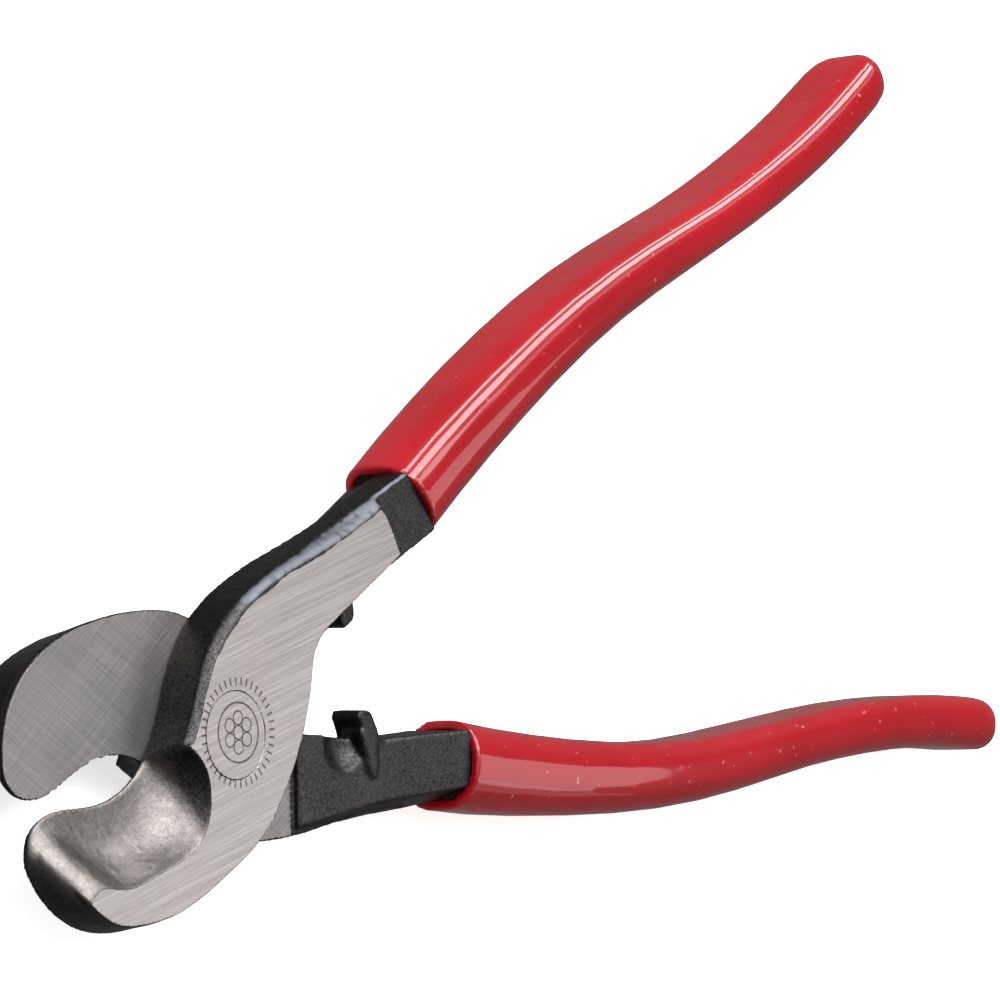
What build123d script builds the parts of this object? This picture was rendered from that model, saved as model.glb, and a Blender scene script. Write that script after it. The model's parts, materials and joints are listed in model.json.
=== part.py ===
"""High-leverage cable cutter: two identical forged halves on one rivet, with dipped grips.

Millimetres. The tool lies flat in XY. X is the bisector of the handles, which point to +X.
The origin is on the rivet's axis, in the ground back face. The two halves meet on the shear
plane, one half thickness above it. Each half is the other one turned over about X.
"""
from build123d import *
import math
import os

os.makedirs("parts", exist_ok=True)

# ---- Driving dimensions ----
HALF_T = 7.2  # thickness of one half between the shear plane and its ground face
FACE_GAP = 0.04  # gap between the two inner faces
TOTAL_T = 2 * HALF_T + FACE_GAP
EDGE_LAND = 0.35  # small upright land at the cutting edge
GRIP_END_X = 193.6  # far end of the grips
GRIP_WALL = 1.5  # thickness of the dipped sleeve
CORE_TIP_WALL = 3.0  # sleeve thickness beyond the end of the handle
RIVET_R = 4.5
RIVET_HEAD_R = 6.0
RIVET_HEAD_T = 2.2
RIVET_LAND = 0.5  # upright rim of each rivet head
RUNNING_GAP = 0.05  # radial clearance of the front half on the rivet
SHANK_BEVEL = 1.1  # bevel along the outer edge of the ground face

# ---- Plan of one half, in its own frame: shear plane at z = 0, ground face at +HALF_T ----
# Each stretch is given twice, at the shear plane and at the ground face, for the forging's draft.
THROAT = [(-11.9, 0.0), (-9.6, 1.6)]
OUTER_WALL = [
    [(-8.4, 3.2), (-3.8, 9.6), (2.2, 15.2), (14.4, 19.3)],
    [(-6.5, 5.1), (-2.8, 10.1), (2.8, 14.9), (15.4, 19.0)],
]
SHANK_END_OUTER = [(39.6, 23.2), (39.8, 22.9)]
SHANK_END_INNER = [(42.2, 14.2), (42.0, 14.0)]
SHANK_INNER = [(24.0, 9.0), (24.0, 8.8)]
INNER_CORNER = [(20.2, 7.0), (20.3, 6.8)]
HUB_INNER = [(18.3, 4.0), (18.2, 3.8)]
HUB_BACK = [
    [(14.4, -3.2), (9.4, -9.6), (3.4, -16.0), (-5.0, -19.4), (-15.2, -20.8), (-25.1, -19.8)],
    [(14.2, -3.2), (8.8, -9.2), (1.2, -14.8), (-6.1, -17.2), (-14.6, -19.0), (-23.5, -18.9)],
]
JAW_NOSE = [
    [(-31.8, -16.4), (-35.9, -11.3), (-37.5, -6.3)],
    [(-30.0, -16.8), (-34.0, -12.6), (-35.4, -7.0)],
]
MOUTH_BLANK = [(-38.5, 1.0), (-12.6, 2.2)]

# The scoop runs from the cutting edge at the shear plane to its rim in the ground face.
CUTTING_EDGE = [
    (-11.9, 0.0), (-15.6, -2.1), (-21.0, -2.9), (-26.4, -2.0),
    (-31.4, -1.2), (-35.9, -2.8), (-37.5, -6.4), (-37.3, -12.0),
]
SCOOP_RIM = [
    (-9.2, 1.0), (-7.2, -6.6), (-10.6, -11.4), (-19.5, -13.3),
    (-27.6, -12.9), (-32.0, -11.9), (-34.2, -13.4), (-34.6, -17.5),
]
# Below 1 the scoop is hollow there, above 1 it bulges, as it does round the nose.
SCOOP_POWER = [0.75, 0.5, 0.42, 0.42, 0.6, 1.4, 2.0, 2.0]
SCOOP_LEVELS = 3

# ---- Handle: stations from collar to tip, as x, y, grip width, grip thickness ----
GRIP_STATIONS = [
    (49.9, 20.0, 13.2, 14.6),
    (76.0, 30.1, 11.4, 15.8),
    (106.0, 38.4, 9.7, 16.2),
    (136.0, 43.0, 8.4, 16.0),
    (162.0, 48.0, 8.6, 15.6),
    (183.0, 54.2, 8.9, 15.2),
]
SECTIONS_PER_SPAN = 3
CORNER_SHARE = 0.45  # corner radius of a handle section over its width
# Rounded end: share of its length, of the last width and of the last thickness
TIP_ROUNDING = [
    (0.35, 1.0, 0.99),
    (0.62, 0.97, 0.93),
    (0.80, 0.88, 0.79),
    (0.92, 0.68, 0.58),
    (1.0, 0.34, 0.30),
]
HANDLE_Z = 0.3  # centre of the handle above the half's shear plane

# ---- Shank: inner and outer corner in plan, height above and depth below the shear plane, ----
# ---- and how far its lower outer corner is cut back ----
SHANK_SECTIONS = [
    ([(19.4, 5.7), (15.4, 19.2)], 5.2, 0.9, 1.0),
    ([(34.4, 11.3), (32.2, 21.9)], 5.4, 2.0, 2.0),
    ([(51.7, 15.2), (48.1, 24.9)], 6.3, 5.5, 2.2),
]
SHANK_BELLY_Z = 1.4  # height of the shank's widest point

# ---- Stop lug, the rib that backs it and the hollow beside it ----
LUG_PLAN = [(32.0, 12.0), (31.4, 6.9), (32.0, 6.2), (33.9, 6.7), (34.5, 7.4), (35.4, 12.4)]
LUG_HEIGHTS = (-2.4, 2.8)
RIB_PLAN = [(31.0, 9.0), (34.5, 9.4), (33.2, 15.4), (32.0, 16.4), (31.2, 15.0)]
RIB_HEIGHTS = (-2.6, 1.0)
HOLLOW_CENTRE = (27.8, 9.8, -4.6)
HOLLOW_R = 5.2


def between(start, end, share):
    """Point part of the way from one plan point to another."""
    return (
        start[0] + (end[0] - start[0]) * share,
        start[1] + (end[1] - start[1]) * share,
    )


def scoop_curve(level):
    """Plan curve of the scoop at a level from 0, the edge's land, to 1, the ground face."""
    return [
        between(edge, rim, level**power)
        for edge, rim, power in zip(CUTTING_EDGE, SCOOP_RIM, SCOOP_POWER)
    ]


def mouth_sketch(level):
    """Area in front of the scoop at one level, closed well clear of the jaw."""
    curve = scoop_curve(level)
    first, last = curve[0], curve[-1]
    with BuildSketch(Plane.XY.offset(EDGE_LAND + (HALF_T - EDGE_LAND) * level)) as mouth:
        with BuildLine():
            Spline(*curve)
            Polyline(last, (-46.0, last[1]), (-46.0, 9.0), (first[0] - 0.5, 9.0), first)
        make_face()
    return mouth.sketch


def station_plane(x, y, angle):
    """Plane square to the handle, with its own x across the handle and its own y up."""
    heading = math.radians(angle)
    across = (-math.sin(heading), math.cos(heading), 0)
    along = (math.cos(heading), math.sin(heading), 0)
    return Plane(origin=(x, y, HANDLE_Z), x_dir=across, z_dir=along)


def handle_section(x, y, angle, width, thickness):
    """Rounded section of the handle, square to its direction."""
    with BuildSketch(station_plane(x, y, angle)) as section:
        RectangleRounded(width, thickness, CORNER_SHARE * width)
    return section.sketch


def handle_sections(inset, tip_inset):
    """Sections from the collar to the tip. inset thins them and tip_inset shortens the end."""
    route = Spline(*[station[:2] for station in GRIP_STATIONS], mode=Mode.PRIVATE)
    spans = len(GRIP_STATIONS) - 1
    sections = []
    for step in range(spans * SECTIONS_PER_SPAN + 1):
        span = min(step // SECTIONS_PER_SPAN, spans - 1)
        share = step / SECTIONS_PER_SPAN - span
        here, there = GRIP_STATIONS[span], GRIP_STATIONS[span + 1]
        x = here[0] + (there[0] - here[0]) * share
        point = route.intersect(Axis((x, 0, 0), (0, 1, 0)))
        share_along = route.param_at_point(point if isinstance(point, Vector) else point[0])
        tangent = route.tangent_at(share_along)
        angle = math.degrees(math.atan2(tangent.Y, tangent.X))
        end_width = here[2] + (there[2] - here[2]) * share - 2 * inset
        end_thickness = here[3] + (there[3] - here[3]) * share - 2 * inset
        y = (route @ share_along).Y
        sections.append(handle_section(x, y, angle, end_width, end_thickness))
    heading = math.radians(angle)
    length = (GRIP_END_X - x) / math.cos(heading) - tip_inset
    for share, of_width, of_thickness in TIP_ROUNDING:
        tip_x = x + length * share * math.cos(heading)
        tip_y = y + length * share * math.sin(heading)
        size = (end_width * of_width, end_thickness * of_thickness)
        sections.append(handle_section(tip_x, tip_y, angle, *size))
    return sections


# ---- Forging: the steel of one half, without its rivet hole ----
with BuildPart() as scoop:
    for step in range(SCOOP_LEVELS + 1):
        add(mouth_sketch(step / SCOOP_LEVELS))
    loft()

with BuildPart() as core:
    for section in handle_sections(GRIP_WALL, CORE_TIP_WALL):
        add(section)
    loft(ruled=True)

with BuildPart() as forging:
    # Jaw, hub and shank, one flat plate with a ground face on each side
    for level in (0, 1):
        with BuildSketch(Plane.XY.offset(HALF_T * level)):
            with BuildLine():
                Spline(THROAT[level], *OUTER_WALL[level], SHANK_END_OUTER[level])
                Polyline(SHANK_END_OUTER[level], SHANK_END_INNER[level], SHANK_INNER[level])
                Spline(SHANK_INNER[level], INNER_CORNER[level], HUB_INNER[level])
                Spline(HUB_INNER[level], *HUB_BACK[level], *JAW_NOSE[level])
                Polyline(JAW_NOSE[level][-1], *MOUTH_BLANK, THROAT[level])
            make_face()
    loft(ruled=True)
    # Worn bevel along the outer edge of the ground face
    rims = faces().sort_by(Axis.Z)[-1].edges().filter_by(lambda rim: rim.center().Y > 0)
    chamfer(rims.sort_by(SortBy.LENGTH)[-1], length=SHANK_BEVEL)
    # Scoop from the cutting edge up to the ground face
    add(scoop.part, mode=Mode.SUBTRACT)
    extrude(mouth_sketch(0.0), amount=-2 * EDGE_LAND, mode=Mode.SUBTRACT)
    # Shank, deeper than the plate, from the step at the hub to the handle
    for corners, top, depth, cut_back in SHANK_SECTIONS:
        (inner_x, inner_y), (outer_x, outer_y) = corners
        across = (outer_x - inner_x, outer_y - inner_y, 0)
        middle = between(*corners, 0.5)
        side = math.hypot(across[0], across[1])
        along = (across[1], -across[0], 0)
        with BuildSketch(Plane(origin=(*middle, 0), x_dir=across, z_dir=along)):
            with BuildLine():
                Polyline(
                    (-side / 2, -depth),
                    (side / 2 - cut_back, -depth),
                    (side / 2, SHANK_BELLY_Z),
                    (side / 2, top),
                    (-side / 2, top),
                    close=True,
                )
            make_face()
    loft(ruled=True)
    add(core.part)
    # Hollow beside the stop lug
    with Locations(HOLLOW_CENTRE):
        Sphere(HOLLOW_R, mode=Mode.SUBTRACT)
    # Stop lug on the shank's inner edge, and the rib that backs it
    for plan, bottom, top in ((LUG_PLAN, *LUG_HEIGHTS), (RIB_PLAN, *RIB_HEIGHTS)):
        with BuildSketch(Plane.XY.offset(bottom)):
            with BuildLine():
                Polyline(*plan, close=True)
            make_face()
        extrude(amount=top - bottom)

# ---- Placing: the front half stands on the shear plane, the back half hangs under it ----
FRONT_PLACE = Location((0, 0, HALF_T + FACE_GAP))
BACK_PLACE = Location((0, 0, HALF_T), (180, 0, 0))

# ---- Pivot rivet ----
with BuildPart() as pivot_rivet:
    with BuildSketch(Plane.XZ):
        with BuildLine():
            Polyline(
                (0, 0),
                (RIVET_HEAD_R, 0),
                (RIVET_HEAD_R, RIVET_LAND),
                (RIVET_R, RIVET_HEAD_T),
                (RIVET_R, TOTAL_T - RIVET_HEAD_T),
                (RIVET_HEAD_R, TOTAL_T - RIVET_LAND),
                (RIVET_HEAD_R, TOTAL_T),
                (0, TOTAL_T),
                close=True,
            )
        make_face()
    revolve(axis=Axis.Z)

# ---- Rivet seat, with running clearance, cut from the front half ----
with BuildPart() as running_seat:
    with BuildSketch(Plane.XZ):
        with BuildLine():
            Polyline(
                (0, 0),
                (RIVET_R + RUNNING_GAP, 0),
                (RIVET_R + RUNNING_GAP, TOTAL_T - RIVET_HEAD_T),
                (RIVET_HEAD_R + RUNNING_GAP, TOTAL_T - RIVET_LAND),
                (RIVET_HEAD_R + RUNNING_GAP, TOTAL_T + 1),
                (0, TOTAL_T + 1),
                close=True,
            )
        make_face()
    revolve(axis=Axis.Z)

# ---- Steel halves ----
with BuildPart() as front_half:
    add(forging.part.moved(FRONT_PLACE))
    add(running_seat.part, mode=Mode.SUBTRACT)

with BuildPart() as back_half:
    add(forging.part.moved(BACK_PLACE))
    add(pivot_rivet.part, mode=Mode.SUBTRACT)

# ---- Dipped grips ----
with BuildPart() as sleeve:
    for section in handle_sections(0, 0):
        add(section)
    loft(ruled=True)
    add(core.part, mode=Mode.SUBTRACT)

with BuildPart() as front_grip:
    add(sleeve.part.moved(FRONT_PLACE))

with BuildPart() as back_grip:
    add(sleeve.part.moved(BACK_PLACE))

PIECES = {
    "front_half": front_half,
    "back_half": back_half,
    "pivot_rivet": pivot_rivet,
    "front_grip": front_grip,
    "back_grip": back_grip,
}
for name, piece in PIECES.items():
    piece.part.label = name
    export_step(piece.part, f"parts/{name}.step")
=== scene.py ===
"""Looks of the cable cutter: forged and ground steel, dipped vinyl grips, studio and camera."""
import bpy
import bmesh
import json
import math
import numpy as np
from mathutils import Matrix, Vector, noise


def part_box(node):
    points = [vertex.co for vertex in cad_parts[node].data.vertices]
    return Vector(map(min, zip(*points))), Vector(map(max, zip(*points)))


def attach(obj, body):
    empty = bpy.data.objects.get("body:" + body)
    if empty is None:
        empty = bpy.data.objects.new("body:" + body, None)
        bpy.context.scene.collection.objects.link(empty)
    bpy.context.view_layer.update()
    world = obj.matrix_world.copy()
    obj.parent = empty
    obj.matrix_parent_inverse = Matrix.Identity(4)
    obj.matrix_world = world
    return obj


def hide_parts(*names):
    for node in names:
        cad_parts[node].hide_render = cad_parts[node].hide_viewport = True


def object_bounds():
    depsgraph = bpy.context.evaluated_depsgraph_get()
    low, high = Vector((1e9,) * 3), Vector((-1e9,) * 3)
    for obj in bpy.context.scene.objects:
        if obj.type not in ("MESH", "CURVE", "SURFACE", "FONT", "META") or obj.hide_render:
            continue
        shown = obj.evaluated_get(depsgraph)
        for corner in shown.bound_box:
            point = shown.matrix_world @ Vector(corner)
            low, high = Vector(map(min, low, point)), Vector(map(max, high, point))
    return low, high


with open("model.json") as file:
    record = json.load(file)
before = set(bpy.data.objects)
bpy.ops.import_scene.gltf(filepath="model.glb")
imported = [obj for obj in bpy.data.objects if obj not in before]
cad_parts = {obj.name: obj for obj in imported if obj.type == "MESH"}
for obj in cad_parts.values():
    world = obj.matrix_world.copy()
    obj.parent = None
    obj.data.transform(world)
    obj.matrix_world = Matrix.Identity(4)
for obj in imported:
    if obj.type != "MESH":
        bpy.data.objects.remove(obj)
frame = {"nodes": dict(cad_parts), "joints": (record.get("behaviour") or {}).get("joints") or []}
cad_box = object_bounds()

MM = 0.001
PIVOT = Vector(frame["joints"][0]["pos_m"])
FRONT_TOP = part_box("pivot_rivet")[1].z
BACK_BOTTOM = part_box("pivot_rivet")[0].z
HALF_T = 7.2 * MM  # thickness of one half
SHANK_HEADING = math.radians(16.4)  # the shank's direction in the half's own frame
LAP_END = 19.6 * MM  # the inner ground face ends here, measured from the pivot along the shank
PLATE_REACH = 46.0 * MM  # the outer ground face ends before here, measured in the same way

# ---- Camera: a long lens, low over the jaws, turned so that the handles point right ----
LOOK_AT = Vector((75.8 * MM, 13.6 * MM, PIVOT.z))
CAMERA_DISTANCE = 651.9 * MM
CAMERA_HEADING = math.radians(167.36)
CAMERA_RISE = math.radians(37.855)
CAMERA_ROLL = math.radians(86.584)
SENSOR_WIDTH = 36.0
LENS = 156.16


def add_camera():
    """Long-lens camera over the jaws, rolled so that the handles run to the right."""
    data = bpy.data.cameras.new("camera")
    data.sensor_width = SENSOR_WIDTH
    data.lens = LENS
    camera = bpy.data.objects.new("camera", data)
    bpy.context.scene.collection.objects.link(camera)
    toward = Vector((
        math.cos(CAMERA_RISE) * math.cos(CAMERA_HEADING),
        math.cos(CAMERA_RISE) * math.sin(CAMERA_HEADING),
        math.sin(CAMERA_RISE),
    ))
    side = Vector((0, 0, 1)).cross(toward).normalized()
    above = toward.cross(side)
    level = Matrix((side, above, toward)).transposed().to_4x4()
    roll = Matrix.Rotation(CAMERA_ROLL, 4, "Z")
    camera.matrix_world = Matrix.Translation(LOOK_AT + toward * CAMERA_DISTANCE) @ level @ roll
    bpy.context.scene.camera = camera


# ---- Node helpers ----
class Nodes:
    """Short way to add and link shader nodes in one material."""

    def __init__(self, name):
        self.material = bpy.data.materials.new(name)
        self.material.use_nodes = True
        self.tree = self.material.node_tree
        self.tree.nodes.clear()
        self.output = self.tree.nodes.new("ShaderNodeOutputMaterial")
        self.shader = self.tree.nodes.new("ShaderNodeBsdfPrincipled")
        self.link(self.shader.outputs[0], self.output.inputs[0])

    def link(self, source, target):
        self.tree.links.new(source, target)

    def feed(self, socket, value):
        """Sets a socket from a number, a tuple or another node's output."""
        if isinstance(value, bpy.types.NodeSocket):
            self.link(value, socket)
        else:
            socket.default_value = value

    def place(self):
        """Point on the object, in its own frame, in metres."""
        return self.tree.nodes.new("ShaderNodeTexCoord").outputs["Object"]

    def stretched(self, vector, turn, along, across):
        """Coordinates turned by an angle, then scaled along that direction and across it."""
        node = self.tree.nodes.new("ShaderNodeMapping")
        node.vector_type = "TEXTURE"
        self.link(vector, node.inputs["Vector"])
        node.inputs["Rotation"].default_value = (0, 0, turn)
        node.inputs["Scale"].default_value = (1 / along, 1 / across, 1 / across)
        return node.outputs[0]

    def noise(self, vector, scale, detail=3.0, roughness=0.55):
        node = self.tree.nodes.new("ShaderNodeTexNoise")
        self.link(vector, node.inputs["Vector"])
        node.inputs["Scale"].default_value = scale
        node.inputs["Detail"].default_value = detail
        node.inputs["Roughness"].default_value = roughness
        return node.outputs["Fac"]

    def remap(self, value, low, high, to_low=0.0, to_high=1.0):
        """Value moved from one range to another, and held inside it."""
        node = self.tree.nodes.new("ShaderNodeMapRange")
        self.feed(node.inputs["Value"], value)
        for name, number in zip(
            ("From Min", "From Max", "To Min", "To Max"), (low, high, to_low, to_high)
        ):
            node.inputs[name].default_value = number
        return node.outputs["Result"]

    def math(self, operation, first, second=0.0):
        node = self.tree.nodes.new("ShaderNodeMath")
        node.operation = operation
        self.feed(node.inputs[0], first)
        self.feed(node.inputs[1], second)
        return node.outputs[0]

    def mix(self, factor, first, second):
        """Colour between two colours."""
        node = self.tree.nodes.new("ShaderNodeMix")
        node.data_type = "RGBA"
        self.feed(node.inputs["Factor"], factor)
        self.feed(node.inputs[6], first)
        self.feed(node.inputs[7], second)
        return node.outputs[2]

    def blend(self, factor, first, second):
        """Number between two numbers."""
        node = self.tree.nodes.new("ShaderNodeMix")
        self.feed(node.inputs[0], factor)
        self.feed(node.inputs[2], first)
        self.feed(node.inputs[3], second)
        return node.outputs[0]

    def bump(self, height, distance, strength=1.0):
        node = self.tree.nodes.new("ShaderNodeBump")
        node.inputs["Strength"].default_value = strength
        node.inputs["Distance"].default_value = distance
        self.feed(node.inputs["Height"], height)
        return node.outputs[0]

    def attribute(self, name):
        node = self.tree.nodes.new("ShaderNodeAttribute")
        node.attribute_name = name
        return node.outputs["Fac"]


# ---- Finishes and painted light, as linear colours ----
GROUND_TINT = (0.40, 0.35, 0.33, 1)
# Ground faces: darker tone, paler tone and scratches
OUTER_TONES = ((0.30, 0.277, 0.273, 1), (0.43, 0.402, 0.398, 1), (0.19, 0.166, 0.162, 1))
INNER_TONES = ((0.16, 0.155, 0.155, 1), (0.26, 0.25, 0.248, 1), (0.48, 0.465, 0.46, 1))
# Paler steel tones for the jaw's scoop: a painted highlight on its up-facing surfaces, with a
# brownish tint
LIT_SCOOP_DARK = (0.13, 0.118, 0.112, 1)
LIT_SCOOP_PALE = (0.22, 0.202, 0.194, 1)
SKIN_DARK = (0.014, 0.014, 0.016, 1)
SKIN_PALE = (0.085, 0.082, 0.083, 1)
SKIN_BROWN = (0.070, 0.058, 0.052, 1)
ETCHED = (0.07, 0.055, 0.045, 1)
# Pale bluish steel on the shank's outer bevel: real wear together with a painted highlight band
WEAR_AND_HIGHLIGHT = (0.14, 0.146, 0.168, 1)
VINYL_DARK = (0.25, 0.0015, 0.005, 1)
VINYL_PALE = (0.30, 0.002, 0.008, 1)
VINYL_SPECK = (0.8, 0.35, 0.36, 1)

# Directions of the grinding lines on the outer and the inner faces
GRIND_OUTER = (math.radians(1.5),)
GRIND_INNER = (math.radians(25.0), math.radians(-48.0))
GRAIN_SCALE = 2600.0  # grain of the forged skin, in cells per metre

# Generic mark on the outer face: where it is, its radii and how many ticks it has
EMBLEM_AT = (0.6 * MM, 0.2 * MM)
EMBLEM_R = 4.1 * MM
STRAND_R = 0.95 * MM
TICK_R = 7.0 * MM
TICKS = 40


# ---- Materials ----
def brushed(nodes, place, turns):
    """Grinding lines in one or more directions: their tone from 0 to 1, and the deep scratches."""
    tone, deep = None, None
    for turn in turns:
        coarse = nodes.noise(nodes.stretched(place, turn, 30, 2200), 1.0, 2.0, 0.5)
        fine = nodes.noise(nodes.stretched(place, turn, 80, 6500), 1.0, 2.0, 0.6)
        lines = nodes.math(
            "ADD", nodes.math("MULTIPLY", coarse, 0.4), nodes.math("MULTIPLY", fine, 0.6)
        )
        gouges = nodes.noise(nodes.stretched(place, turn, 110, 9000), 1.0, 1.0, 0.4)
        gouges = nodes.remap(gouges, 0.56, 0.76)
        if tone is None:
            tone, deep = lines, gouges
        else:
            tone = nodes.math("MULTIPLY", nodes.math("ADD", tone, lines), 0.5)
            deep = nodes.math("MAXIMUM", deep, gouges)
    return tone, deep


def emblem_mask(nodes, place):
    """Generic mark: a cable seen end on, one strand with six round it, in a ring of ticks."""
    spot = nodes.tree.nodes.new("ShaderNodeVectorMath")
    spot.operation = "ADD"
    nodes.link(place, spot.inputs[0])
    spot.inputs[1].default_value = (-EMBLEM_AT[0], -EMBLEM_AT[1], 0)
    split = nodes.tree.nodes.new("ShaderNodeSeparateXYZ")
    nodes.link(spot.outputs[0], split.inputs[0])
    x, y = split.outputs[0], split.outputs[1]

    def distance(cx, cy):
        dx = nodes.math("SUBTRACT", x, cx)
        dy = nodes.math("SUBTRACT", y, cy)
        squares = nodes.math("ADD", nodes.math("MULTIPLY", dx, dx), nodes.math("MULTIPLY", dy, dy))
        return nodes.math("SQRT", squares)

    def circle(cx, cy, radius, width):
        off = nodes.math("ABSOLUTE", nodes.math("SUBTRACT", distance(cx, cy), radius))
        return nodes.remap(off, width * 0.35, width * 0.65, 1.0, 0.0)

    marks = circle(0, 0, EMBLEM_R, 0.28 * MM)
    marks = nodes.math("MAXIMUM", marks, circle(0, 0, STRAND_R, 0.22 * MM))
    for index in range(6):
        angle = math.radians(60 * index + 15)
        reach = 2.1 * STRAND_R
        ring = circle(reach * math.cos(angle), reach * math.sin(angle), STRAND_R, 0.22 * MM)
        marks = nodes.math("MAXIMUM", marks, ring)
    around = nodes.math("ARCTAN2", y, x)
    teeth = nodes.math("FRACT", nodes.math("MULTIPLY", around, TICKS / (2 * math.pi)))
    off_tick = nodes.math("ABSOLUTE", nodes.math("SUBTRACT", teeth, 0.5))
    tick = nodes.remap(off_tick, 0.09, 0.16, 1.0, 0.0)
    band = nodes.math("ABSOLUTE", nodes.math("SUBTRACT", distance(0, 0), TICK_R))
    band = nodes.remap(band, 0.5 * MM, 0.6 * MM, 1.0, 0.0)
    return nodes.math("MAXIMUM", marks, nodes.math("MULTIPLY", tick, band))


def etched_mark(nodes, place, grain):
    """The generic mark, unevenly etched."""
    return nodes.math("MULTIPLY", emblem_mask(nodes, place), nodes.remap(grain, 0.3, 0.5, 0.55, 0.95))


def ground_look(nodes, place, turns, dark, pale, scratch):
    """Height, colour and roughness of a ground face between two tones, with scratches."""
    lines, deep = brushed(nodes, place, turns)
    patches = nodes.noise(place, 60.0, 2.0)
    colour = nodes.mix(nodes.remap(lines, 0.38, 0.62), dark, pale)
    colour = nodes.mix(nodes.remap(patches, 0.35, 0.75, 0.0, 0.22), colour, GROUND_TINT)
    faint = nodes.math("MULTIPLY", deep, nodes.remap(patches, 0.35, 0.65, 0.10, 0.45))
    colour = nodes.mix(faint, colour, scratch)
    roughness = nodes.remap(lines, 0.35, 0.65, 0.40, 0.36)
    height = nodes.math("SUBTRACT", lines, nodes.math("MULTIPLY", deep, 0.4))
    return height, colour, roughness


def steel_material(name, with_emblem):
    """One forging: dark grained skin, with bright ground faces where the piece says ground."""
    nodes = Nodes(name)
    place = nodes.place()
    outer = nodes.remap(nodes.attribute("ground_outer"), 0.90, 0.97)
    inner = nodes.remap(nodes.attribute("ground_inner"), 0.90, 0.97)
    lines, bright, smooth = ground_look(nodes, place, GRIND_OUTER, *OUTER_TONES)
    cross, bright_in, smooth_in = ground_look(nodes, place, GRIND_INNER, *INNER_TONES)
    grain = nodes.noise(place, GRAIN_SCALE, 4.0, 0.7)
    pits = nodes.noise(place, 700.0, 3.0, 0.6)
    sheen = nodes.noise(place, 90.0, 2.0)
    skin = nodes.mix(nodes.remap(grain, 0.35, 0.75), SKIN_DARK, SKIN_PALE)
    skin = nodes.mix(nodes.remap(sheen, 0.4, 0.75, 0.0, 0.35), skin, SKIN_BROWN)
    # Painted light: up-facing scoop surfaces take the paler scoop tones in place of the dark skin
    scoop_light_tone = nodes.mix(nodes.remap(grain, 0.35, 0.75), LIT_SCOOP_DARK, LIT_SCOOP_PALE)
    skin = nodes.mix(nodes.attribute("scoop_painted_light"), skin, scoop_light_tone)
    skin_rough = nodes.remap(pits, 0.3, 0.7, 0.50, 0.36)
    # The outer bevel takes the pale bluish tone: wear, and a painted highlight along the edge
    wear_and_highlight = nodes.remap(nodes.attribute("wear_and_highlight"), 0.35, 0.75)
    skin = nodes.mix(wear_and_highlight, skin, WEAR_AND_HIGHLIGHT)
    skin_rough = nodes.blend(wear_and_highlight, skin_rough, 0.55)
    colour = nodes.mix(outer, skin, bright)
    if with_emblem:
        mark = etched_mark(nodes, place, grain)
        colour = nodes.mix(nodes.math("MULTIPLY", mark, outer), colour, ETCHED)
    colour = nodes.mix(inner, colour, bright_in)
    smooth_in = nodes.math("ADD", smooth_in, 0.12)
    rough = nodes.blend(inner, nodes.blend(outer, skin_rough, smooth), smooth_in)
    nodes.link(colour, nodes.shader.inputs["Base Color"])
    nodes.link(rough, nodes.shader.inputs["Roughness"])
    nodes.shader.inputs["Metallic"].default_value = 1.0
    height = nodes.math("ADD", nodes.math("MULTIPLY", grain, 0.5), pits)
    height = nodes.blend(outer, height, nodes.math("MULTIPLY", lines, 0.12))
    height = nodes.blend(inner, height, nodes.math("MULTIPLY", cross, 0.12))
    nodes.link(nodes.bump(height, 0.06 * MM, 1.0), nodes.shader.inputs["Normal"])
    return nodes.material


def rivet_material():
    """Rivet end, ground with the face round it."""
    nodes = Nodes("rivet_steel")
    place = nodes.place()
    lines, bright, smooth = ground_look(nodes, place, GRIND_OUTER, *OUTER_TONES)
    grain = nodes.noise(place, GRAIN_SCALE, 4.0, 0.7)
    mark = etched_mark(nodes, place, grain)
    split = nodes.tree.nodes.new("ShaderNodeSeparateXYZ")
    nodes.link(place, split.inputs[0])
    on_top = nodes.math("GREATER_THAN", split.outputs[2], FRONT_TOP - 0.1 * MM)
    colour = nodes.mix(nodes.math("MULTIPLY", mark, on_top), bright, ETCHED)
    nodes.link(colour, nodes.shader.inputs["Base Color"])
    nodes.link(smooth, nodes.shader.inputs["Roughness"])
    nodes.shader.inputs["Metallic"].default_value = 1.0
    nodes.link(nodes.bump(lines, 0.0125 * MM, 0.8), nodes.shader.inputs["Normal"])
    return nodes.material


def vinyl_material(name):
    """Glossy red dipped vinyl with a faint orange peel and a few specks."""
    nodes = Nodes(name)
    place = nodes.place()
    tone = nodes.noise(place, 45.0, 2.0)
    specks = nodes.remap(nodes.noise(place, 900.0, 1.0, 0.4), 0.74, 0.80)
    colour = nodes.mix(nodes.remap(tone, 0.3, 0.7), VINYL_DARK, VINYL_PALE)
    colour = nodes.mix(nodes.math("MULTIPLY", specks, 0.35), colour, VINYL_SPECK)
    nodes.link(colour, nodes.shader.inputs["Base Color"])
    nodes.link(nodes.remap(tone, 0.3, 0.7, 0.30, 0.36), nodes.shader.inputs["Roughness"])
    nodes.shader.inputs["Specular IOR Level"].default_value = 0.15
    nodes.shader.inputs["Coat Weight"].default_value = 0.9
    nodes.shader.inputs["Coat Roughness"].default_value = 0.04
    peel = nodes.noise(place, 380.0, 2.0)
    ripples = nodes.noise(place, 60.0, 1.0)
    height = nodes.math("ADD", nodes.math("MULTIPLY", peel, 0.12), ripples)
    nodes.link(nodes.bump(height, 0.12 * MM, 0.5), nodes.shader.inputs["Normal"])
    return nodes.material


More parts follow.
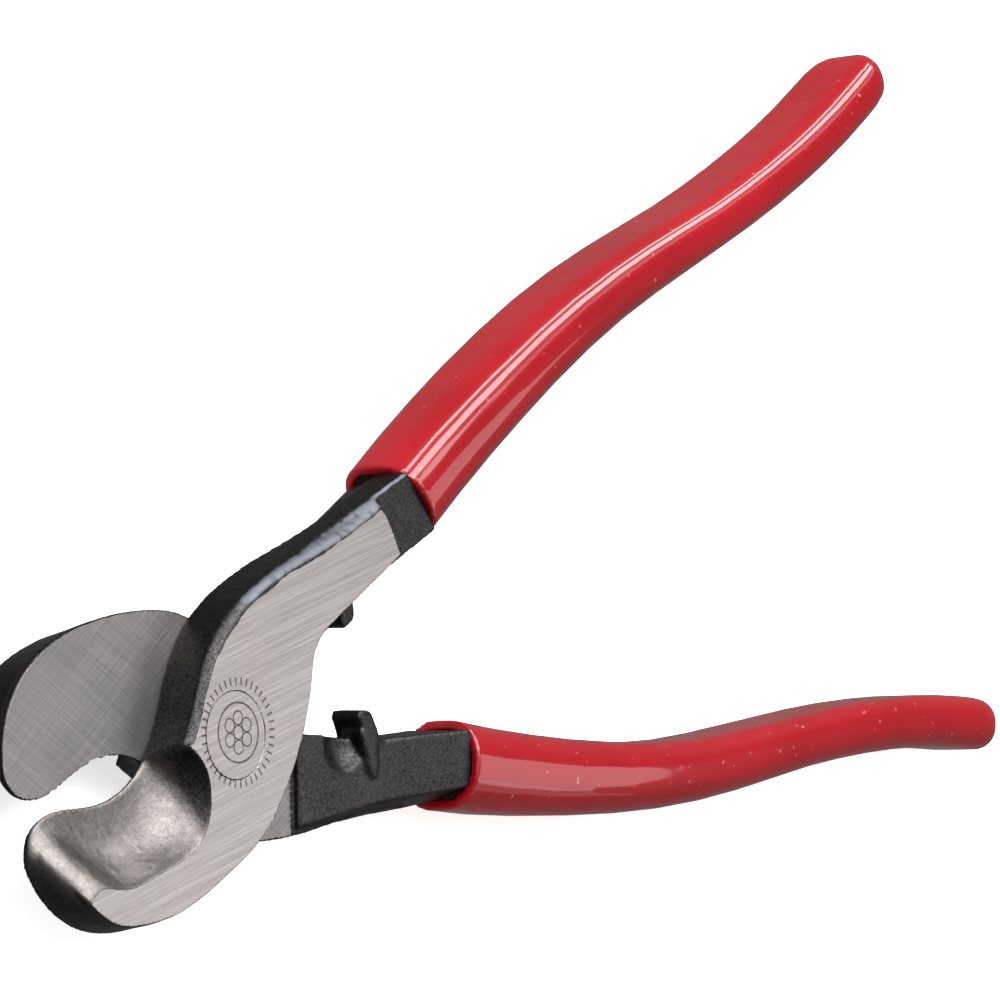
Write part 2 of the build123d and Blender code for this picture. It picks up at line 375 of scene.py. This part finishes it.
# ---- Mesh work ----
def remeshed(node, name, voxel):
    """Fine even copy of a CAD node's mesh, as a new object."""
    mesh = frame["nodes"][node].data.copy()
    piece = bpy.data.objects.new(name, mesh)
    bpy.context.scene.collection.objects.link(piece)
    weld = piece.modifiers.new("weld", "WELD")
    weld.merge_threshold = 0.001 * MM
    fine = piece.modifiers.new("fine", "REMESH")
    fine.mode = "VOXEL"
    fine.voxel_size = voxel
    graph = bpy.context.evaluated_depsgraph_get()
    piece.data = bpy.data.meshes.new_from_object(piece.evaluated_get(graph))
    piece.modifiers.clear()
    piece.data.materials.clear()
    return piece


def points_of(piece):
    """The piece's points as rows of x, y, z."""
    count = len(piece.data.vertices)
    points = np.empty(count * 3, np.float32)
    piece.data.vertices.foreach_get("co", points)
    return points.reshape(-1, 3).astype(float)


def set_points(piece, points):
    piece.data.vertices.foreach_set("co", points.astype(np.float32).ravel())
    piece.data.update()


def normals_of(piece):
    normals = np.empty(len(piece.data.vertices) * 3, np.float32)
    piece.data.vertices.foreach_get("normal", normals)
    return normals.reshape(-1, 3).astype(float)


def smoothed(piece, points, rounds, share=0.5, back=0.0):
    """Points drawn towards their neighbours' mean. back undoes some of the shrinking."""
    edges = np.empty(len(piece.data.edges) * 2, np.int32)
    piece.data.edges.foreach_get("vertices", edges)
    edges = edges.reshape(-1, 2)
    count = np.bincount(edges.ravel(), minlength=len(points))[:, None]

    def step(now, amount):
        total = np.zeros_like(now)
        for axis in range(3):
            total[:, axis] = np.bincount(
                edges[:, 0], now[edges[:, 1], axis], len(now)
            ) + np.bincount(edges[:, 1], now[edges[:, 0], axis], len(now))
        return now + amount * (total / count - now)

    for _ in range(rounds):
        points = step(points, share)
        if back:
            points = step(points, -back)
    return points


def store(piece, name, values):
    layer = piece.data.attributes.new(name, "FLOAT", "POINT")
    layer.data.foreach_set("value", values.astype(np.float32))


def finish_piece(piece, material, body, node):
    """Keeps the piece inside its CAD node's box, gives it its finish and puts it in the frame."""
    low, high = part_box(node)
    set_points(piece, np.clip(points_of(piece), low, high))
    piece.data.materials.append(material)
    piece.data.shade_smooth()
    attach(piece, body)
    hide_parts(node)


def snapped(piece, points, field):
    """Moves the points next to the line field = 0 onto it. Returns them and which ones they are."""
    edges = np.empty(len(piece.data.edges) * 2, np.int32)
    piece.data.edges.foreach_get("vertices", edges)
    edges = edges.reshape(-1, 2)
    low, high = field[edges[:, 0]], field[edges[:, 1]]
    crossing = (low < 0) != (high < 0)
    first, second = edges[crossing, 0], edges[crossing, 1]
    # Where the line cuts each edge. An edge's nearer end goes there, to the mean if it has several.
    share = (low[crossing] / (low[crossing] - high[crossing]))[:, None]
    spots = points[first] * (1 - share) + points[second] * share
    nearer = np.where(share[:, 0] < 0.5, first, second)
    count = np.bincount(nearer, minlength=len(points))
    moved = points.copy()
    on_line = count > 0
    for axis in range(3):
        total = np.bincount(nearer, spots[:, axis], len(points))
        moved[on_line, axis] = total[on_line] / count[on_line]
    return moved, on_line


def mark_sharp(piece, flat):
    """Sharp edges round the faces whose corners all lie in the flat."""
    mesh = bmesh.new()
    mesh.from_mesh(piece.data)
    for face in mesh.faces:
        face.tag = all(flat[v.index] for v in face.verts)
    for edge in mesh.edges:
        sides = [face.tag for face in edge.link_faces]
        if len(set(sides)) == 2:
            edge.smooth = False
    mesh.to_mesh(piece.data)
    mesh.free()


HALF_VOXEL = 0.26 * MM
HALF_SMOOTHING = (8, 0.5, 0.42)  # rounds, share drawn in, share given back
# Places that are rounded further, with the rounds of smoothing each takes
NOSE_START = -28.0 * MM  # the jaw's nose begins here
NOSE_BLEND = 4.0 * MM
NOSE_ROUNDS = 120
EDGE_ALONG = (1 * MM, 8 * MM)  # where its rounding starts along the shank, and over what length
EDGE_ACROSS = (8 * MM, 3 * MM)  # the same across the shank
EDGE_ROUNDS = 30
LUG_ROOT = np.array((32.5, 12.5, -1.0)) * MM
LUG_REACH = 7.0 * MM
LUG_ROUNDS = 12
# Forged skin: how far it stands out, then the height and size of its two kinds of unevenness
SKIN_RISE = 0.10 * MM
LUMP_HEIGHT, LUMP_SIZE = 0.07 * MM, 4.0 * MM
PIMPLE_HEIGHT, PIMPLE_SIZE = 0.025 * MM, 1.1 * MM
SCOOP_START = -9.0 * MM  # the painted light on the scoop's up-facing surfaces fades in from here towards the nose
# The outer edge is worn and carries a painted highlight round this depth under the ground face, this
# far up and down, and from this distance on along the shank
WEAR_HIGHLIGHT_DEPTH, WEAR_HIGHLIGHT_WIDTH, WEAR_HIGHLIGHT_START = 0.8 * MM, 1.0 * MM, 8.0 * MM
# A half's own axes against the part's: as they are, or turned over about X
UPRIGHT = np.array((1, 1, 1))
TURNED_OVER = np.array((1, -1, -1))


def ramp(values, start, length):
    """0 at start, 1 a length further, and held outside that."""
    return np.clip((values - start) / length, 0, 1)


def along_shank(local):
    return local[:, 0] * math.cos(SHANK_HEADING) + local[:, 1] * math.sin(SHANK_HEADING)


def across_shank(local):
    return local[:, 1] * math.cos(SHANK_HEADING) - local[:, 0] * math.sin(SHANK_HEADING)


def soften(piece, points, place):
    """Rounds the whole forging a little, and the nose, the shank's outer edge and the lug more."""
    points = smoothed(piece, points, *HALF_SMOOTHING)
    local = place(points)
    # How much of each rounding a point takes, from 0 to 1
    nose = ramp(-local[:, 0], -NOSE_START, NOSE_BLEND)
    nose *= ramp(local[:, 2], 0.5 * MM, 1.5 * MM)
    nose *= ramp(-local[:, 2], 0.3 * MM - HALF_T, 1.2 * MM)
    points += (smoothed(piece, points, NOSE_ROUNDS) - points) * nose[:, None]
    edge = ramp(across_shank(local), *EDGE_ACROSS) * ramp(along_shank(local), *EDGE_ALONG)
    edge *= ramp(local[:, 2], 1.5 * MM, 2.5 * MM)
    points += (smoothed(piece, points, EDGE_ROUNDS) - points) * edge[:, None]
    lug = np.clip(1.3 - np.linalg.norm(local - LUG_ROOT, axis=1) / LUG_REACH, 0, 1)
    points += (smoothed(piece, points, LUG_ROUNDS) - points) * lug[:, None]
    return points


def ground_off(piece, local, standing, plane_z):
    """Cuts what stands above a grinding plane back to it. Returns the points and the ground ones."""
    local, rim = snapped(piece, local, standing)
    ground = (standing >= 0) | rim
    local[ground, 2] = plane_z
    return local, ground


def make_half(node, name, body, material, turn, shear_z):
    """Forged half: rounded, grained skin and flat ground faces with crisp edges."""
    origin = np.array((0, 0, shear_z))

    def place(points):
        """From the part's frame to the half's own: shear plane at z = 0, ground face up."""
        return (points - origin) * turn

    piece = remeshed(node, name, HALF_VOXEL)
    points = soften(piece, points_of(piece), place)
    set_points(piece, points)
    local = place(points)
    normals = normals_of(piece) * turn
    lumps = np.array([noise.noise(Vector(p) / LUMP_SIZE) for p in local])
    pimples = np.array([noise.noise(Vector(p) / PIMPLE_SIZE) for p in local])
    local += normals * (SKIN_RISE + LUMP_HEIGHT * lumps + PIMPLE_HEIGHT * pimples)[:, None]
    along = along_shank(local)

    # Each grinding cut: how far the skin stands above its plane, or below it where it doesn't reach
    standing = np.where(along < PLATE_REACH, local[:, 2] - HALF_T, -MM)
    local, on_top = ground_off(piece, local, standing, HALF_T)
    standing = np.where(along < LAP_END, -local[:, 2], -MM)
    local, under = ground_off(piece, local, standing, 0)
    mark_sharp(piece, on_top)
    mark_sharp(piece, under)
    store(piece, "ground_outer", on_top)
    store(piece, "ground_inner", under)

    # Worn edge with a painted highlight: a band just under the ground face on the outer side, along
    # the shank
    rim = np.clip(1.5 - np.abs(local[:, 2] - (HALF_T - WEAR_HIGHLIGHT_DEPTH)) / WEAR_HIGHLIGHT_WIDTH, 0, 1)
    slope = ramp(normals[:, 2], 0.25, 0.3) * ramp(normals[:, 1], 0.2, 0.2)
    wear_and_highlight = rim * slope * ramp(along, WEAR_HIGHLIGHT_START, 6 * MM) * ~on_top
    store(piece, "wear_and_highlight", wear_and_highlight * (0.8 + 0.5 * pimples))
    # Painted light on the jaw: the more a surface faces up, the more of the paler scoop tone it takes
    scoop_painted_light = ramp(normals[:, 2], 0.10, 0.5) * ramp(-local[:, 0], -SCOOP_START, 2 * MM)
    store(piece, "scoop_painted_light", scoop_painted_light * ~on_top)
    set_points(piece, local * turn + origin)
    finish_piece(piece, material, body, node)


GRIP_VOXEL = 0.42 * MM
GRIP_SMOOTHING = (10, 0.5, 0.52)
SLICE = 1.5 * MM  # length of one slice in finding the grip's middle line
GRIP_SWELL = 0.02  # how much the grip's sides bulge over their width


def make_grip(node, name, body, slot):
    """Dipped sleeve with a rounded lip and slightly bulging sides."""
    piece = remeshed(node, name, GRIP_VOXEL)
    points = smoothed(piece, points_of(piece), *GRIP_SMOOTHING)
    x, y, z = points.T
    # The sleeve's curved middle line, found slice by slice and evened out
    slice_of = np.floor((x - x.min()) / SLICE).astype(int)
    centre = np.bincount(slice_of, y) / np.bincount(slice_of)
    centre = np.convolve(np.pad(centre, 2, mode="edge"), np.ones(5) / 5, mode="valid")
    middle_y = np.interp(x, x.min() + (np.arange(len(centre)) + 0.5) * SLICE, centre)
    middle_z, half_z = (z.max() + z.min()) / 2, (z.max() - z.min()) / 2
    swell = 1 + GRIP_SWELL * (1 - ((z - middle_z) / half_z) ** 2)
    points[:, 1] = middle_y + (y - middle_y) * swell
    set_points(piece, points)
    finish_piece(piece, vinyl_material(slot), body, node)


add_camera()
make_half(
    "front_half", "front_forging", "front_side",
    steel_material("front_steel", True), UPRIGHT, FRONT_TOP - HALF_T,
)
make_half(
    "back_half", "back_forging", "back_side",
    steel_material("back_steel", False), TURNED_OVER, BACK_BOTTOM + HALF_T,
)
make_grip("front_grip", "front_sleeve", "front_side", "front_vinyl")
make_grip("back_grip", "back_sleeve", "back_side", "back_vinyl")
rivet = frame["nodes"]["pivot_rivet"]
rivet.data.materials.clear()
rivet.data.materials.append(rivet_material())


# ---- Studio ----
def add_softbox(name, at, facing, long_axis, length, width, radiance):
    """Rectangular light at a point, facing a direction, its length along long_axis."""
    data = bpy.data.lights.new(name, "AREA")
    data.shape = "RECTANGLE"
    data.size = length
    data.size_y = width
    data.energy = radiance * length * width * math.pi
    light = bpy.data.objects.new(name, data)
    back = -Vector(facing).normalized()
    side = (Vector(long_axis) - back * back.dot(Vector(long_axis))).normalized()
    turned = Matrix((side, back.cross(side), back)).transposed().to_4x4()
    light.matrix_world = Matrix.Translation(at) @ turned
    bpy.context.scene.collection.objects.link(light)


# Strip lights run along the front grip. Distances are in metres.
GRIP_MIDDLE = Vector((120 * MM, 40 * MM, 7 * MM))
GRIP_HEADING = math.radians(19.0)
STRIP_REACH = 0.9  # from the grip
STRIP_AHEAD = 0.85  # past the grip's middle, towards its tip
STRIP_LENGTH = 2.4
# Each strip: lean from straight up in degrees, width, radiance
STRIPS = [(37.0, 0.26, 9.5), (60.0, 0.12, 10.0), (12.0, 0.20, 1.4)]
# Each box light: name, where it stands, where it points, length, width, radiance
BOXES = [
    ("jaw_box", (0.26, -0.12, 0.30), (-0.02, -0.016, 0.0145), 0.24, 0.24, 1.7),
    ("scoop_box", (0.38, 0.46, 1.05), (0, 0, 0), 0.6, 0.6, 3.5),
    ("left_box", (-0.45, 0.75, 1.1), (0.05, 0, 0), 1.4, 0.9, 0.8),
    ("low_box", (0.25, -1.0, 0.9), (0.05, 0, 0), 1.6, 0.8, 0.5),
]
WORLD_STRENGTH = 0.16


def add_studio():
    """White world, strips along the front grip and boxes round the part."""
    world = bpy.data.worlds.new("studio")
    world.use_nodes = True
    background = world.node_tree.nodes["Background"]
    background.inputs[0].default_value = (1, 1, 1, 1)
    background.inputs[1].default_value = WORLD_STRENGTH
    bpy.context.scene.world = world
    bpy.context.scene.view_settings.view_transform = "Standard"
    along = Vector((math.cos(GRIP_HEADING), math.sin(GRIP_HEADING), 0))
    outward = Vector((-along.y, along.x, 0))
    for lean, width, radiance in STRIPS:
        angle = math.radians(lean)
        away = Vector((0, 0, 1)) * math.cos(angle) + outward * math.sin(angle)
        at = GRIP_MIDDLE + along * STRIP_AHEAD + away * STRIP_REACH
        add_softbox(f"strip_{lean:.0f}", at, -away, along, STRIP_LENGTH, width, radiance)
    for name, at, aim, length, width, radiance in BOXES:
        facing = Vector(aim) - Vector(at)
        across = Vector((0, 0, 1)).cross(facing)
        add_softbox(name, Vector(at), facing, across, length, width, radiance)


FLOOR_REACH = 3.0  # metres from the origin to each side
FLOOR_GLOW = 0.7  # lights the floor evenly, as a lit table does


def add_floor():
    """Plain pale floor under the part's lowest point."""
    lowest = min(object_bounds()[0][2], cad_box[0][2])
    mesh = bpy.data.meshes.new("floor")
    ends = ((-1, -1), (1, -1), (1, 1), (-1, 1))
    corners = [(x * FLOOR_REACH, y * FLOOR_REACH, lowest) for x, y in ends]
    mesh.from_pydata(corners, [], [(0, 1, 2, 3)])
    floor = bpy.data.objects.new("floor", mesh)
    bpy.context.scene.collection.objects.link(floor)
    nodes = Nodes("floor")
    nodes.shader.inputs["Base Color"].default_value = (0.9, 0.9, 0.9, 1)
    nodes.shader.inputs["Roughness"].default_value = 0.9
    nodes.shader.inputs["Emission Color"].default_value = (1, 1, 1, 1)
    nodes.shader.inputs["Emission Strength"].default_value = FLOOR_GLOW
    mesh.materials.append(nodes.material)
    floor.visible_glossy = False


add_studio()
add_floor()
